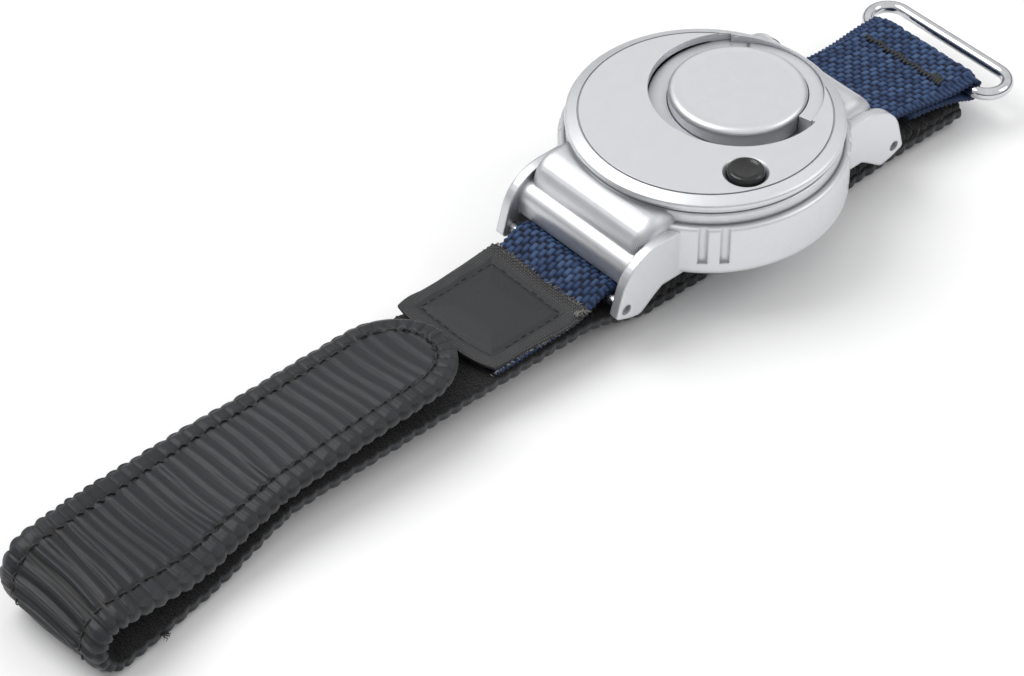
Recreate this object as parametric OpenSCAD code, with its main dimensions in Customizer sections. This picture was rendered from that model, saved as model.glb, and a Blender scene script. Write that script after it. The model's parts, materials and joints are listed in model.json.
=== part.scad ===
// Personal alarm on a hook-and-loop wrist strap.
// Z = 0 is the flat underside of the strap below the case. The case axis is the Z axis.
// +X runs along the strap towards the wire ring, -Y is the side with the push button.

/* [Case] */
// Radius of the case wall
case_r = 28.4; // [28.2:0.1:28.8]
// Height of the case floor above the underside of the strap
case_bottom = 10.8; // [10.8:0.1:11]
// Height of the top edge of the case wall
case_top = 24.8; // [24.6:0.1:24.8]
// Thickness of the case wall
case_wall = 2.2; // [2:0.1:2.4]
// Distance from the case axis to each strap pin
pin_x = 36.15; // [36:0.05:36.3]
// Height of the strap pins
pin_z = 9.9; // [9.8:0.05:10]
// Radius of each strap pin
pin_r = 1.08; // [0.9:0.02:1.08]
// Distance from the middle plane to the outer face of a lug
lug_out = 17; // [16.6:0.1:17.4]
// Distance from the middle plane to the inner face of a lug
lug_in = 15; // [14.8:0.1:15.2]

/* [Top] */
// Height of the top plate
plate_z = 28; // [28:0.1:28.2]
// Radius of the flat top plate
plate_r = 24.4; // [24.2:0.1:24.6]
// Outer radius of the sloping bezel
bezel_r = 27.1; // [27:0.1:27.4]
// Distance of the sound well from the case axis, towards the ring
well_x = 9.5; // [9:0.1:9.5]
// Distance of the sound well from the middle plane
well_y = 0.8; // [0:0.1:0.8]
// Radius of the deep part of the sound well
well_r = 17.5; // [17.3:0.1:17.5]
// Radius of the shallow part of the sound well
well_end_r = 16.6; // [16.2:0.1:16.6]
// Radius of the round horn cap
cap_r = 13.6; // [13.2:0.1:13.6]
// Distance of the push button from the case axis, away from the ring
button_x = -7; // [-7.4:0.1:-6.6]
// Distance of the push button from the middle plane
button_y = -18; // [-18.2:0.1:-17.8]
// Radius of the push button
button_r = 3.65; // [3.4:0.05:3.8]
// Travel of the push button
button_travel = 0.8; // [0.4:0.1:0.8]

/* [Strap] */
// Width of the webbing and of the hook-and-loop strap
strap_w = 25; // [24:0.5:25.5]
// Thickness of the hook-and-loop strap
strap_t = 2.4; // [2:0.1:2.4]
// Thickness of the webbing
web_t = 1.6; // [1.4:0.1:1.6]
// Where the lined strap ends under the ring
strap_end = 61; // [58:0.5:61]
// Where the strap turns back on itself
fold_x = -155.5; // [-157:0.5:-155.5]
// Inside radius of the turn at the near edge
fold_near_r = 3.9; // [3.7:0.1:4.2]
// Inside radius of the turn at the far edge
fold_far_r = 5.7; // [5.4:0.1:6.2]
// Where the tail starts to lift from the strap
lift_x = -146; // [-147:0.5:-145]
// Where the rounded tail ends
tail_end = -68.6; // [-76:0.2:-68.6]
// Length of the sewn patch
patch_l = 25; // [22:0.5:25]

/* [Ring] */
// Radius of the ring's wire
wire_r = 1.3; // [1:0.05:1.3]
// Where the inner bar of the ring lies in the webbing fold
ring_x = 62.5; // [62:0.5:63]
// Height of the ring
ring_z = 8; // [7.9:0.1:8.2]
// Distance between the two long bars of the ring
ring_gap = 8.9; // [8.9:0.1:10]
// Length of the ring over its round ends
ring_l = 38.2; // [35:0.2:40]

/* [Hidden] */
$fn = 64;

well_at = [well_x, well_y];
button_at = [button_x, button_y];
gap = 0.05;
silver = "#c9ccd1";
strap_hw = strap_w / 2;
web_top_pin = pin_z + pin_r + 0.2 + web_t;
plate_t = 1.6;
plate_low = plate_z - plate_t;
board_low = 18.5;
board_top = board_low + 1.2;
insert_low = 22.6;
cap_low = insert_low + 1.4;
cell_r = 5.8;
cell_low = 12.6;
cell_h = 5.4;
cell_orbit = 7.2;
cover_r = 22;
cover_t = 1.4;
screw_orbit = 19.6;
ring_r = ring_gap / 2;
ring_half = ring_l / 2 - wire_r - ring_r;

// ---- curves -----------------------------------------------------------------------------

function clamp01(t) = min(max(t, 0), 1);
function ease(t) = let (c = clamp01(t)) c * c * (3 - 2 * c);

// Points of an arc in the XZ or XY plane
function arc(c, r, a0, a1, n = 8) =
    [for (i = [0:n]) let (a = a0 + (a1 - a0) * i / n) [c[0] + r * cos(a), c[1] + r * sin(a)]];

// Smooth curve through a short table of [x, value]
function seg(T, x, i = 0) = (i >= len(T) - 2 || x < T[i + 1][0]) ? i : seg(T, x, i + 1);
function slope(T, i) =
    let (a = max(i - 1, 0), b = min(i + 1, len(T) - 1)) (T[b][1] - T[a][1]) / (T[b][0] - T[a][0]);
function curve(T, x) =
    let (i = seg(T, x), h = T[i + 1][0] - T[i][0], u = (x - T[i][0]) / h)
    T[i][1] * (2 * pow(u, 3) - 3 * u * u + 1) + slope(T, i) * h * (pow(u, 3) - 2 * u * u + u)
    + T[i + 1][1] * (3 * u * u - 2 * pow(u, 3)) + slope(T, i + 1) * h * (pow(u, 3) - u * u);

// ---- course of the straps ---------------------------------------------------------------

flat_half = 25;
rise_left = 4.7;
rise_right = 0.8;

// Height of the underside of the lined strap
function strap_low(x) = x > 0
    ? rise_right * ease((x - flat_half) / 18)
    : rise_left * (ease((-flat_half - x) / 18) - ease((-108 - x) / 30));

// Sideways curve of the strap towards its turn
bend_x = -115;
function drift(x) = x < bend_x ? -8 * pow((bend_x - x) / 50, 1.3) : 0;
// The strap's rings turn with the curve, and square up again before the turn
square_x = -138;
function heading(x) = atan(drift(x + 0.5) - drift(x - 0.5)) * (1 - ease((square_x - x) / 16));
function across(x, v, hw, z, back = 0) = [
    x - v * hw * sin(heading(x)) - back * cos(heading(x)),
    drift(x) + v * hw * cos(heading(x)) - back * sin(heading(x)),
    z
];

// Height of the inner face of the returning layer at its near and far edges
TAIL_NEAR = [
    [fold_x, strap_t + 2 * fold_near_r], [-150, 8.6], [-138, 5.6], [-125, 6.8],
    [-111, 8.2], [-95, 9], [-68, 10.2]
];
TAIL_FAR = [
    [fold_x, strap_t + 2 * fold_far_r], [-150, 13.2], [-138, 11.6], [-125, 9.6],
    [-111, 8.4], [-95, 8.6], [-68, 8.8]
];
function tail_z(x, v) =
    let (n = curve(TAIL_NEAR, x), f = curve(TAIL_FAR, x)) n + (f - n) * (v + 1) / 2;

// Height of the top face of the webbing
WEB_TOP = [
    [-68.5, 9], [-56, 9.3], [-44, 9.9], [-36.6, web_top_pin], [-33, 11.55], [-29, 10.75],
    [-25, 10.5], [0, 10.5], [25, 10.5], [29, 10.75], [33, 11.55],
    [36.6, web_top_pin], [44, 12.1], [52, 11.3], [ring_x, ring_z + wire_r + 0.1 + web_t]
];
web_start = -68;
function web_top(x) = curve(WEB_TOP, x);

// Height of the underside of the sewn-back end of the webbing
web_return = 46;
WEB_RETURN = [
    [web_return, 8.2], [52, 7.7], [58, 6.1], [ring_x, ring_z - wire_r - 0.1 - web_t]
];

// Thickness of the upper lining, thinner where it runs under the ring
pad_start = -34;
function pad_t(x) = 2.6 - ease((x - 40) / 12);

// Closed ribbon through rings of four points: near inner, far inner, far outer, near outer
// Both broad faces are split along the same diagonal, so that a twisted ribbon keeps its thickness
module ribbon(rings) {
    n = len(rings);
    sides = [
        for (i = [0:n - 2], k = [0:3])
            let (a = 4 * i + k, b = 4 * i + (k + 1) % 4, c = b + 4, d = a + 4)
            each (k == 2 ? [[a, b, d], [b, c, d]] : [[a, b, c], [a, c, d]])
    ];
    ends = [[3, 2, 1, 0], [4 * n - 4, 4 * n - 3, 4 * n - 2, 4 * n - 1]];
    polyhedron([for (r = rings) each r], concat(sides, ends), convexity = 6);
}

// One ring of the flat strap between two heights
function flat_ring(x, hw, z0, z1) = [
    across(x, -1, hw, z1), across(x, 1, hw, z1), across(x, 1, hw, z0), across(x, -1, hw, z0)
];
// One ring of the turn at angle a
function fold_point(v, a, out) =
    let (r = v < 0 ? fold_near_r : fold_far_r)
    across(fold_x, v, strap_hw, strap_t + r - (r + out) * cos(a), (r + out) * sin(a));
function fold_ring(a) =
    [fold_point(-1, a, 0), fold_point(1, a, 0), fold_point(1, a, strap_t), fold_point(-1, a, strap_t)];
// One ring of the returning layer, between two distances from its inner face
function tail_ring(x, hw, d0, d1) =
    let (v = hw / strap_hw)
    [
        across(x, -1, hw, tail_z(x, -v) + d0), across(x, 1, hw, tail_z(x, v) + d0),
        across(x, 1, hw, tail_z(x, v) + d1), across(x, -1, hw, tail_z(x, -v) + d1)
    ];
// Positions and half widths along a tail with a round tip
function tail_xs(x0, tip, r, step) = concat(
    [for (i = [0:floor((tip - r - x0) / step)]) x0 + step * i],
    [for (a = [8:14:78]) tip - r + r * sin(a)]
);
function tip_hw(x, tip, r, hw) = x < tip - r ? hw : hw * sqrt(1 - pow((x - tip + r) / r, 2));

// ---- case -------------------------------------------------------------------------------

// Side view of a lug
LUG = concat(
    [[16, case_bottom], [16, 21.4]],
    arc([28, 11.9], 9.5, 90, 15, 12),
    [[38.6, 9.2], [38.5, 8.8], [38.1, 8.5], [35.3, 7.4], [33.1, 6.9], [32.3, 7.1]],
    [[30.6, 8.3], [28.6, 9.8], [27, case_bottom]]
);
// Side view of the band between the lugs
BAND = concat(
    [[16, case_bottom], [16, 19]],
    arc([31.2, 15.6], 3.4, 90, 0, 10),
    [[34.6, 12.8], [34.2, 12.4], [31.5, 11.6], [28, 11.1], [24, case_bottom]]
);
// Side view of the shoulder that joins the case to the band, inset by g
shoulder_r = 6;
function shoulder_side(g) = concat(
    [[16, 12], [16, case_top - 0.1 - g]],
    arc([26, case_top - 0.1 - shoulder_r], shoulder_r - g, 90, 4, 10),
    [[32.1 - g, 17.5], [31.8 - g, 12]]
);
shoulder_hw = lug_in;
shoulder_round = 2;
// Top of the outer wall, and the collar that stands on it under the bezel
ledge_z = case_top - 2.4;
collar_r = bezel_r - 0.3;
groove_w = 0.3;

module side_extrude(y0, y1) {
    translate([0, y1, 0]) rotate([90, 0, 0]) linear_extrude(y1 - y0) children();
}
module each_end() {
    children();
    mirror([1, 0, 0]) children();
}
module each_side() {
    children();
    mirror([0, 1, 0]) children();
}

module case_outer() {
    rotate_extrude($fn = 128) polygon(concat(
        [[0, case_bottom], [case_r - 1.6, case_bottom]],
        arc([case_r - 1.6, case_bottom + 1.6], 1.6, -90, 0, 5),
        arc([case_r - 0.8, ledge_z - 0.8], 0.8, 0, 90, 5),
        [[collar_r + groove_w, ledge_z], [collar_r + groove_w, ledge_z - groove_w]],
        [[collar_r, ledge_z - groove_w], [collar_r, case_top - 0.3], [collar_r - 0.3, case_top]],
        [[0, case_top]]
    ));
    each_end() {
        each_side() side_extrude(lug_in, lug_out) polygon(LUG);
        side_extrude(-lug_in - 0.01, lug_in + 0.01) polygon(BAND);
        for (a = [0:10:90])
            let (g = shoulder_round * (1 - sin(a)), y = shoulder_hw - shoulder_round * (1 - cos(a)))
            side_extrude(-y, y) polygon(shoulder_side(g));
    }
}
flute_at = [126, 134.5];
cavity_low = case_bottom + 2.6;
cavity_top = ledge_z - 1.2;
mouth_r = 25.4;
module case_body() {
    color(silver) difference() {
        case_outer();
        translate([0, 0, cavity_low]) cylinder(r = case_r - case_wall, h = cavity_top - cavity_low);
        translate([0, 0, cavity_top - 0.1]) cylinder(r = mouth_r, h = case_top - cavity_top + 1);
        translate([0, 0, case_bottom - 1]) cylinder(r = cover_r + 0.1, h = cover_t + 1);
        translate([0, 0, case_bottom]) cylinder(r = 16.6, h = 4);
        each_end() for (a = flute_at) each_side() rotate([0, 0, a])
            translate([case_r + 0.3, 0, case_bottom + 3.2]) cylinder(r = 1, h = 20, $fn = 24);
        for (x = [-pin_x, pin_x]) translate([x, 0, pin_z]) rotate([90, 0, 0])
            cylinder(r = pin_r + 0.02, h = 2 * lug_out + 2, center = true, $fn = 32);
        at_screws() translate([0, 0, case_bottom]) cylinder(r = 0.62, h = 4.2, $fn = 24);
    }
    color(silver) for (a = [0:90:270]) rotate([0, 0, a])
        translate([23, -2, case_bottom + 2.5]) cube([3.3, 4, board_low - case_bottom - 2.5]);
    color(silver) at_screws() translate([0, 0, case_bottom + 2.5]) difference() {
        cylinder(r = 1.9, h = 2.2, $fn = 32);
        translate([0, 0, -1]) cylinder(r = 0.62, h = 4, $fn = 24);
    }
}
module at_screws() {
    for (a = [45:90:315]) rotate([0, 0, a]) translate([screw_orbit, 0, 0]) children();
}

neck_r = bezel_r - 0.8;
bezel_low = plate_z - 2.1;
module top_cover() {
    color(silver) difference() {
        rotate_extrude($fn = 128) polygon([
            [0, plate_low], [0, plate_z], [plate_r, plate_z], [plate_r + 0.05, plate_z - 0.35],
            [plate_r + 0.3, plate_z - 0.35], [plate_r + 0.35, plate_z - 0.05],
            [bezel_r - 0.5, plate_z - 0.75], [bezel_r - 0.15, plate_z - 0.95],
            [bezel_r, plate_z - 1.25], [bezel_r, bezel_low + 0.2], [bezel_r - 0.2, bezel_low],
            [neck_r, bezel_low], [neck_r, case_top + gap], [mouth_r - 0.1, case_top + gap],
            [mouth_r - 0.1, case_top - 1.8], [24, case_top - 1.8], [24, plate_low]
        ]);
        translate([well_at[0], well_at[1], plate_low]) cylinder(r = well_end_r, h = 3, $fn = 128);
        translate([well_at[0], well_at[1], insert_low - 1]) {
            cylinder(r = 14.8, h = 8, $fn = 96);
            rotate([0, 0, well_a0]) rotate_extrude(angle = deep_turn, $fn = 128)
                translate([1, 0]) square([well_r - 1, 8]);
        }
        translate([button_at[0], button_at[1], plate_low - 1]) cylinder(r = button_r + 0.1, h = 4);
        translate([button_at[0], button_at[1], plate_z - 0.7])
            cylinder(r1 = button_r + 0.1, r2 = 4.5, h = 0.71);
    }
}

// The floor of the well climbs once round the horn cap, from its deep start to its end
well_end = -77;
deep_turn = 233;
well_a0 = well_end - deep_turn;
// From here to its end the floor stands clear of the cover's skirt and reaches down to the insert
clear_a = -410;
ramp_low = insert_low + 1.2;
ramp_top = plate_z - 0.35;
function ramp_z(a) = ramp_low + (ramp_top - ramp_low) * (well_end - a) / 360;
function polar(a, r, z) = [r * cos(a), r * sin(a), z];
module ramp_run(a0, a1, ro, zb, n) {
    ri = cap_r + 0.15;
    ribbon([for (i = [0:n]) let (a = a0 + (a1 - a0) * i / n)
        [polar(a, ri, ramp_z(a)), polar(a, ro, ramp_z(a)), polar(a, ro, zb), polar(a, ri, zb)]]);
}
module horn_insert() {
    color(silver) translate([well_at[0], well_at[1], 0]) {
        ramp_run(well_end - 0.1, well_a0 + 0.1, well_r - gap, insert_low, 46);
        ramp_run(well_a0 + 0.1, clear_a, well_end_r - gap, plate_low + 0.02, 20);
        ramp_run(clear_a + 0.1, well_end - 360, well_end_r - gap, insert_low, 6);
        translate([0, 0, insert_low]) cylinder(r = cap_r + 0.2, h = 1.2, $fn = 72);
    }
}
module horn_cap() {
    round_r = 1.3;
    cap_top = plate_z + 0.35;
    color(silver) translate([well_at[0], well_at[1], 0]) rotate_extrude($fn = 128) polygon(concat(
        [[0, cap_low], [cap_r, cap_low]],
        arc([cap_r - round_r, cap_top - round_r], round_r, 0, 90, 6),
        [[cap_r - 2.4, cap_top - 0.05], [0, cap_top - 0.05]]
    ));
}

// ---- button -----------------------------------------------------------------------------

flange_low = plate_low - 1.15;
stem_low = flange_low - 0.9;
module push_button() {
    top = plate_z + 0.9;
    color("#17181a") translate([button_at[0], button_at[1], 0]) rotate_extrude($fn = 72) polygon(concat(
        [[0, stem_low], [1.5, stem_low], [1.5, flange_low], [4.6, flange_low], [4.6, plate_low - gap],
         [button_r, plate_low - gap]],
        arc([button_r - 0.7, top - 0.7], 0.7, 0, 90, 5),
        [[button_r - 1.3, top - 0.25], [1.2, top - 0.45], [0, top - 0.5]]
    ));
}
switch_top = stem_low - button_travel - gap;
module button_spring() {
    turns = 2.2;
    low = switch_top + 0.2;
    high = flange_low - 0.2;
    steps = 36;
    wire = 0.16;
    ring_n = 8;
    pts = [for (i = [0:steps], k = [0:ring_n - 1])
        let (a = 360 * turns * i / steps, r = 2.4 + wire * cos(360 * k / ring_n))
        [r * cos(a), r * sin(a), low + (high - low) * i / steps + wire * sin(360 * k / ring_n)]];
    sides = [for (i = [0:steps - 1], k = [0:ring_n - 1]) [
        ring_n * i + k, ring_n * i + ring_n + k,
        ring_n * i + ring_n + (k + 1) % ring_n, ring_n * i + (k + 1) % ring_n
    ]];
    first = [[for (k = [0:ring_n - 1]) k]];
    last = [[for (k = [ring_n - 1:-1:0]) ring_n * steps + k]];
    color("silver") translate([button_at[0], button_at[1], 0])
        polyhedron(pts, concat(sides, first, last), convexity = 6);
}

// ---- electronics ------------------------------------------------------------------------

module tact_switch() {
    color("#303236") translate([button_at[0], button_at[1], board_top]) {
        translate([-3, -3, 0]) cube([6, 6, switch_top - board_top - 0.3]);
        translate([0, 0, switch_top - board_top - 0.31]) cylinder(r = 1.6, h = 0.31, $fn = 32);
    }
}
module circuit_board() {
    color("#2f6b45") translate([0, 0, board_low]) difference() {
        cylinder(r = 24.6, h = board_top - board_low, $fn = 96);
        for (a = [45:90:315]) rotate([0, 0, a]) translate([24.6, 0, -1]) cylinder(r = 2, h = 4, $fn = 32);
    }
}
module siren_chip() {
    color("#26282b") translate([6, -6, board_top]) {
        translate([-2.5, -2, 0.1]) cube([5, 4, 1.2]);
        for (x = [-1.9:1.27:1.91], s = [-1, 1])
            translate([x - 0.2, s > 0 ? 1.9 : -3.1, 0]) cube([0.4, 1.2, 0.35]);
    }
}
module step_up_coil() {
    color("#8a4a24") translate([-15, 6, board_top]) {
        cylinder(r = 3.2, h = 0.8, $fn = 48);
        cylinder(r = 2.3, h = 4.6, $fn = 48);
        translate([0, 0, 3.8]) cylinder(r = 3.2, h = 0.8, $fn = 48);
    }
}
module driver_transistor() {
    color("#26282b") translate([-9, 14, board_top]) {
        translate([-1.5, -0.8, 0.1]) cube([3, 1.6, 1.1]);
        translate([-0.9, -1.6, 0]) cube([0.4, 3.2, 0.3]);
        translate([0.5, -1.6, 0]) cube([0.4, 3.2, 0.3]);
    }
}
module capacitor() {
    color("#35507d") translate([-19, -5, board_top]) rotate_extrude($fn = 48) polygon(concat(
        [[0, 0], [2, 0]], arc([1.6, 4.6], 0.4, 0, 90, 3), [[0, 5]]
    ));
}
piezo_at = [well_at[0], well_at[1]];
module piezo_gasket() {
    color("#3a3a3c") translate([piezo_at[0], piezo_at[1], insert_low - 0.7]) difference() {
        cylinder(r = 13, h = 0.7, $fn = 72);
        translate([0, 0, -1]) cylinder(r = 11, h = 3, $fn = 72);
    }
}
module piezo_plate() {
    color("#b8954c") translate([piezo_at[0], piezo_at[1], insert_low - 1])
        cylinder(r = 13, h = 0.3, $fn = 96);
}
module piezo_ceramic() {
    color("#e8e4da") translate([piezo_at[0], piezo_at[1], insert_low - 1.2])
        cylinder(r = 9, h = 0.2, $fn = 96);
}
module piezo_leads() {
    for (y = [0, 2.4]) color(y == 0 ? "#a8261f" : "#1c1c1e")
        translate([piezo_at[0] - 10.5 - y, piezo_at[1] + 4, board_top])
            cylinder(r = 0.4, h = insert_low - 1 - board_top, $fn = 24);
}

// ---- battery and back -------------------------------------------------------------------

module at_cell(i) {
    rotate([0, 0, 90 + 120 * i]) translate([cell_orbit, 0, 0]) children();
}
tray_low = case_bottom + cover_t + 0.4;
tray_r = 15.4;
module battery_tray() {
    color("#2b2c2f") difference() {
        translate([0, 0, tray_low]) cylinder(r = tray_r, h = board_low - tray_low, $fn = 96);
        for (i = [0:2]) at_cell(i) translate([0, 0, case_bottom])
            cylinder(r = cell_r + 0.1, h = cell_low + cell_h + 0.35 - case_bottom);
    }
}
module button_cell(i) {
    color("#b9bbbe") at_cell(i) translate([0, 0, cell_low]) rotate_extrude($fn = 72) polygon([
        [0, 0], [cell_r - 0.3, 0], [cell_r, 0.3], [cell_r, cell_h - 1.1], [cell_r - 0.5, cell_h - 0.7],
        [cell_r - 0.9, cell_h], [0, cell_h]
    ]);
}
module button_cell_1() {
    button_cell(0);
}
module button_cell_2() {
    button_cell(1);
}
module button_cell_3() {
    button_cell(2);
}
module cell_contacts() {
    color("#c7b071") for (i = [0:2]) at_cell(i)
        translate([0, 0, cell_low + cell_h]) cylinder(r = 3.6, h = 0.3, $fn = 32);
}
module cell_link() {
    color("#c7b071") translate([0, 0, case_bottom + cover_t]) cylinder(r = 12.4, h = 0.35, $fn = 72);
}
module back_cover() {
    color(silver) difference() {
        translate([0, 0, case_bottom]) cylinder(r = cover_r, h = cover_t, $fn = 128);
        at_screws() translate([0, 0, case_bottom - 1]) cylinder(r = 0.9, h = 4, $fn = 32);
        at_screws() translate([0, 0, case_bottom - 0.01]) cylinder(r1 = 1.7, r2 = 0.9, h = 0.8, $fn = 32);
        translate([0, 0, case_bottom + cover_t - 0.5]) rotate_extrude($fn = 96)
            translate([17.3, 0]) square([0.7, 1]);
    }
}
module cover_seal() {
    color("#202124") translate([0, 0, case_bottom + cover_t - 0.48]) rotate_extrude($fn = 96)
        translate([17.33, 0]) square([0.64, 0.46]);
}
module cover_screws() {
    color("#9da0a4") at_screws() translate([0, 0, case_bottom]) difference() {
        union() {
            cylinder(r1 = 1.62, r2 = 0.6, h = 1, $fn = 32);
            cylinder(r = 0.58, h = 4, $fn = 24);
        }
        translate([-1.1, -0.15, -0.5]) cube([2.2, 0.3, 0.9]);
        translate([-0.15, -1.1, -0.5]) cube([0.3, 2.2, 0.9]);
    }
}

// ---- straps -----------------------------------------------------------------------------

module strap_pin(x) {
    color("#c4c6ca") translate([x, 0, pin_z]) rotate([90, 0, 0])
        cylinder(r = pin_r, h = 2 * lug_out - 1.6, center = true, $fn = 32);
}
module strap_pin_left() {
    strap_pin(-pin_x);
}
module strap_pin_right() {
    strap_pin(pin_x);
}

module webbing() {
    xs = [for (i = [0:87]) web_start + (ring_x - web_start) * i / 87];
    back = [for (i = [0:10]) ring_x + (web_return - ring_x) * i / 10];
    bend = [ring_x, ring_z];
    color("#2d4169") side_extrude(-strap_hw, strap_hw) polygon(concat(
        [for (x = xs) [x, web_top(x)]],
        arc(bend, wire_r + 0.1 + web_t, 80, -80, 12),
        [for (x = back) [x, curve(WEB_RETURN, x)]],
        [for (i = [10:-1:0]) [back[i], curve(WEB_RETURN, back[i]) + web_t]],
        arc(bend, wire_r + 0.1, -80, 80, 10),
        [for (i = [87:-1:0]) [xs[i], web_top(xs[i]) - web_t]]
    ));
}
module bar_tack() {
    tack_x = 55.6;
    tack_w = 1.6;
    color("#1b1d22") side_extrude(-9.5, 9.5) polygon([
        [tack_x, web_top(tack_x) + 0.03], [tack_x + tack_w, web_top(tack_x + tack_w) + 0.03],
        [tack_x + tack_w - 0.2, web_top(tack_x + tack_w) + 0.35], [tack_x + 0.2, web_top(tack_x) + 0.35]
    ]);
}
patch_x0 = -67.8;
patch_hw = strap_hw + 0.6;
patch_t = 0.8;
module vinyl_patch() {
    color("#39393b") ribbon([for (i = [0:16]) let (x = patch_x0 + patch_l * i / 16)
        flat_ring(x, patch_hw, web_top(x) + gap, web_top(x) + patch_t)]);
}
module patch_stitching() {
    inset = 3.5;
    low = patch_t + 0.03;
    high = patch_t + 0.2;
    w = 0.5;
    xa = patch_x0 + inset;
    xb = patch_x0 + patch_l - inset;
    ya = patch_hw - inset;
    color("#1b1b1d") {
        for (s = [-1, 1]) side_extrude(s * ya - w / 2, s * ya + w / 2) polygon(concat(
            [for (i = [0:8]) let (x = xa + (xb - xa) * i / 8) [x, web_top(x) + low]],
            [for (i = [8:-1:0]) let (x = xa + (xb - xa) * i / 8) [x, web_top(x) + high]]
        ));
        for (x = [xa, xb - w]) side_extrude(-ya, ya) polygon([
            [x, web_top(x) + low], [x + w, web_top(x + w) + low],
            [x + w, web_top(x + w) + high], [x, web_top(x) + high]
        ]);
    }
}
module wrist_pad() {
    color("#1f2023") ribbon([for (i = [0:32]) let (x = pad_start + (strap_end - pad_start) * i / 32)
        flat_ring(x, strap_hw, strap_low(x) + strap_t + 0.1, strap_low(x) + strap_t + 0.1 + pad_t(x))]);
}
module loop_strap() {
    color("#303236") ribbon(concat(
        [for (i = [0:96]) let (x = strap_end + (fold_x - strap_end) * i / 96)
            flat_ring(x, strap_hw, strap_low(x), strap_low(x) + strap_t)],
        [for (a = [15:15:165]) fold_ring(a)],
        [for (i = [0:6]) let (x = fold_x + (lift_x - 0.15 - fold_x) * i / 6)
            tail_ring(x, strap_hw, 0, strap_t)]
    ));
}
tape_t = 0.8;
tail_step = 1.9;
module strap_tail() {
    color("#33353a") ribbon([for (x = tail_xs(lift_x + 0.15, tail_end, strap_hw, tail_step))
        tail_ring(x, tip_hw(x, tail_end, strap_hw, strap_hw), tape_t, strap_t)]);
}
tape_inset = 3.8;
module hook_tape() {
    tape_hw = strap_hw - tape_inset;
    tip = tail_end - tape_inset;
    color("#242528") ribbon([for (x = tail_xs(lift_x + 0.15 + tail_step, tip, tape_hw, tail_step))
        tail_ring(x, tip_hw(x, tip, tape_hw, tape_hw), 0, tape_t - 2 * gap)]);
}
module tail_stitching() {
    w = 0.25;
    tip = tail_end - tape_inset;
    hw = strap_hw - tape_inset;
    xs = tail_xs(lift_x + 0.15 + tail_step, tip, hw, tail_step);
    color("#17181a") for (s = [-1, 1]) ribbon([for (x = xs)
        let (c = s * tip_hw(x, tip, hw, hw), v0 = (c - w) / strap_hw, v1 = (c + w) / strap_hw) [
            across(x, v0, strap_hw, tail_z(x, v0) + strap_t + 0.03),
            across(x, v1, strap_hw, tail_z(x, v1) + strap_t + 0.03),
            across(x, v1, strap_hw, tail_z(x, v1) + strap_t + 0.2),
            across(x, v0, strap_hw, tail_z(x, v0) + strap_t + 0.2)
        ]]);
}

module slider_ring() {
    color("#d5d7da") translate([ring_x + ring_r, 0, ring_z]) {
        for (s = [-1, 1]) {
            translate([s * ring_r, 0, 0]) rotate([90, 0, 0])
                cylinder(r = wire_r, h = 2 * ring_half, center = true, $fn = 48);
            translate([0, s * ring_half, 0]) rotate([0, 0, s > 0 ? 0 : 180])
                rotate_extrude(angle = 180, $fn = 64) translate([ring_r, 0]) circle(r = wire_r, $fn = 48);
        }
    }
}

case_body();
top_cover();
horn_insert();
horn_cap();
push_button();
button_spring();
tact_switch();
circuit_board();
siren_chip();
step_up_coil();
driver_transistor();
capacitor();
piezo_plate();
piezo_ceramic();
piezo_gasket();
piezo_leads();
battery_tray();
button_cell_1();
button_cell_2();
button_cell_3();
cell_contacts();
cell_link();
back_cover();
cover_seal();
cover_screws();
strap_pin_left();
strap_pin_right();
webbing();
bar_tack();
vinyl_patch();
patch_stitching();
wrist_pad();
loop_strap();
strap_tail();
hook_tape();
tail_stitching();
slider_ring();
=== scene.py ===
import json
import math

import bpy
import numpy as np
from mathutils import Matrix, Vector


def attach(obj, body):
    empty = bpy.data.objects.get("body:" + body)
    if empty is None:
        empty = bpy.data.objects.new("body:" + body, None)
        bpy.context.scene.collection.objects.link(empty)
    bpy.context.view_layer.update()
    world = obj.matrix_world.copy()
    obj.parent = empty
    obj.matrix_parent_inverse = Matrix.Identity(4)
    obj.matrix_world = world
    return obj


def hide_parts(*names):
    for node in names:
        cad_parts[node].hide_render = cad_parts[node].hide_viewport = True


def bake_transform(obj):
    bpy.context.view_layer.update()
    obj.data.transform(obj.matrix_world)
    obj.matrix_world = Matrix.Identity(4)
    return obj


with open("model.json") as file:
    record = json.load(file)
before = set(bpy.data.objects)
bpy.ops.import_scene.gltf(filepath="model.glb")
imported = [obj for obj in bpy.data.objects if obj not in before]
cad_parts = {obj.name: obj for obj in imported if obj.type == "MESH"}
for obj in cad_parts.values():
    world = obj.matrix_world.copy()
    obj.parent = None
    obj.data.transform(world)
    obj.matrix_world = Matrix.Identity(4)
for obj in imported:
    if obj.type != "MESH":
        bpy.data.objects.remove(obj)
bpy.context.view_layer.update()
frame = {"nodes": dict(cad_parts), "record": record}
rng = np.random.default_rng(11)
MM = 0.001

# ---- course of the straps, in millimetres ----------------

# The numbers are the CAD source's, but the tail's near edge and the webbing's return lie a little higher.

# the ribbed strap: thickness, half width, its end, its turn, and the start and end of its tail
STRAP_T = 2.4
STRAP_HW = 12.5
STRAP_END = 61.0
FOLD_X = -155.5
TAIL_SPLIT = -153.5
TAIL_END = -67.6
# radius of the inner face round the turn, at the near and at the far edge
FOLD_NEAR = 3.9
FOLD_FAR = 5.7
# distance of the stitching from the edge, and spacing of the ribs and of the fine yarns between them
STITCH_IN = 3.8
RIB = 2.9
YARN = 0.72

# the webbing, its weft spacing, the pins that it goes over and the ring that it is folded round
WEB_T = 1.6
WEB_PICK = 1.17
PIN_TOP = 9.9 + 1.08
PIN_PLAY = 0.2
WEB_ON_PIN = PIN_TOP + PIN_PLAY + WEB_T
WIRE_R = 1.3
WIRE_PLAY = 0.1
RING_X = 62.5
RING_Z = 8.0

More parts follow.
